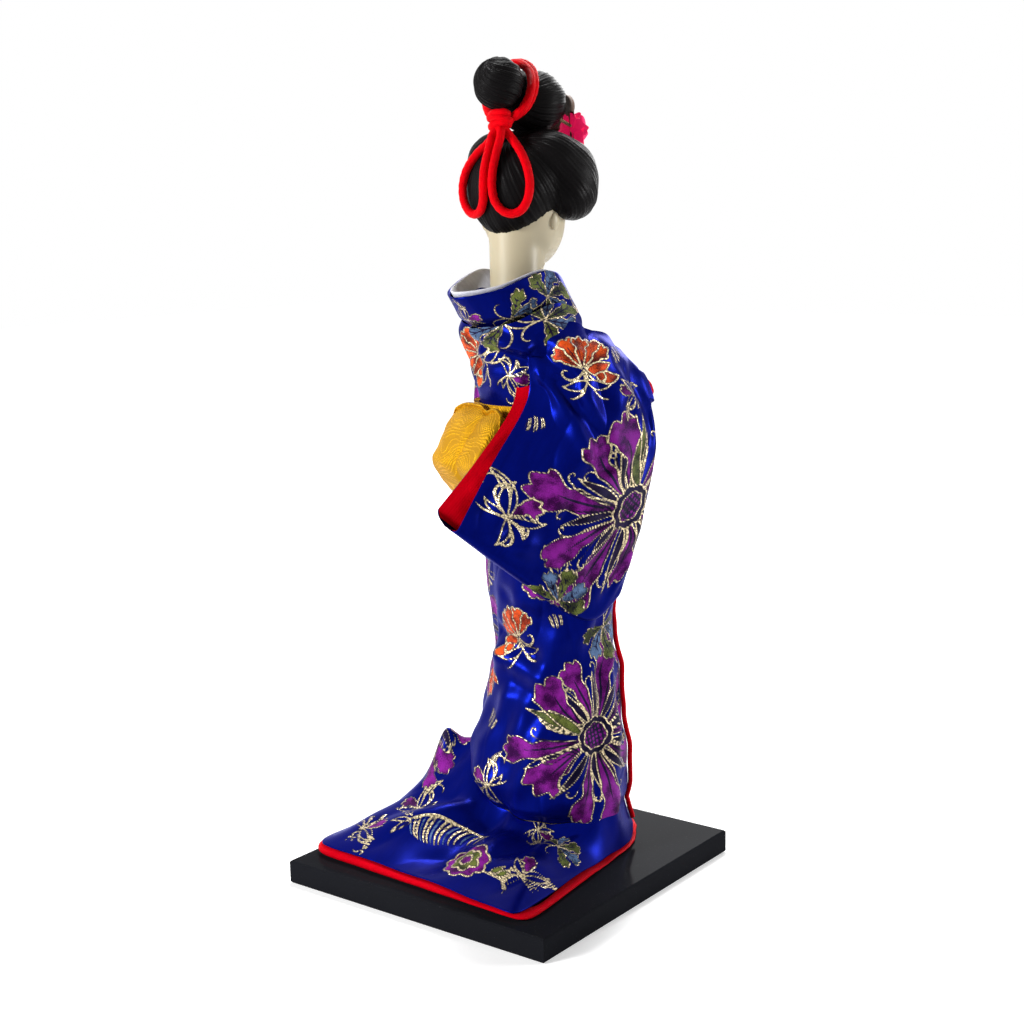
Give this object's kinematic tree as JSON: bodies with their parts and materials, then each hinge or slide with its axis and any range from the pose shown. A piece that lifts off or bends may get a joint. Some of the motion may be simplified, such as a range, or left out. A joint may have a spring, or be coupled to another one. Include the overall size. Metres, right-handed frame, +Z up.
{
  "type": "costume doll",
  "caption": "Standing costume doll in a trailing brocade robe with a gold back sash and upswept hair with red cord loops, its head turning on a neck stick, fixed to a square lacquered board.",
  "frame": {"origin": "centre of the square board's underside, on the surface that the doll stands on", "axes": "+Z up along the doll; the board's sides run along X and Y; the doll's hips face -Y turned 20 degrees towards -X"},
  "size_m": [0.12, 0.12, 0.3032],
  "materials": {
    "lacquer": "high-gloss black lacquer",
    "steel": "zinc-plated wood screws",
    "core": "raw pressed straw and paper",
    "skin": "smooth satin ivory-white shell lacquer over composition",
    "pale_wood": "raw pale wood",
    "arm_wrap": "paper-wrapped padded wire",
    "white_silk": "satin silk",
    "blue_brocade": "glossy royal-blue satin with woven purple, orange, olive and gold flowers",
    "red_lining": "matte scarlet silk crepe, padded at the hem",
    "gold_brocade": "metallic gold brocade with a flowing wave weave",
    "red_cord": "braided silk cord",
    "red_scarf": "dimpled tie-dyed silk",
    "black_hair": "combed and waxed silk floss",
    "comb": "polished dark comb",
    "petals": "starched pink silk"
  },
  "bodies": {
    "body": {"board": "lacquer", "board_screw_left": "steel", "board_screw_right": "steel", "skirt_core": "core", "torso_core": "core", "right_hand": "skin", "left_hand": "skin", "right_arm": "arm_wrap", "left_arm": "arm_wrap", "under_collar": "white_silk", "collar": "blue_brocade", "kimono_bodice": "blue_brocade", "kimono_skirt": "blue_brocade", "sleeve_right": "blue_brocade", "sleeve_left": "blue_brocade", "kimono_lining": "red_lining", "front_edge_trim": "red_lining", "sleeve_lining_right": "red_lining", "sleeve_lining_left": "red_lining", "sash_band": "gold_brocade", "sash_knot": "gold_brocade", "sash_cord": "red_cord", "sash_scarf": "red_scarf"},
    "head": {"head": "skin", "neck_stick": "pale_wood", "hair_back": "black_hair", "hair_front": "black_hair", "hair_side_right": "black_hair", "hair_side_left": "black_hair", "hair_topknot": "black_hair", "hair_bun": "black_hair", "hairpin_stick": "pale_wood", "comb": "comb", "hairpin_flower": "petals", "hair_cord_ring": "red_cord", "hair_cord_knot": "red_cord", "hair_cord_loop_right": "red_cord", "hair_cord_loop_left": "red_cord"}
  },
  "joints": [
    {"name": "head_turn", "type": "hinge", "parent": "body", "child": "head", "pos_m": [-0.00255, -0.00778, 0.21], "axis": [0, 0, 1], "range_deg": [-30, 30]}
  ]
}
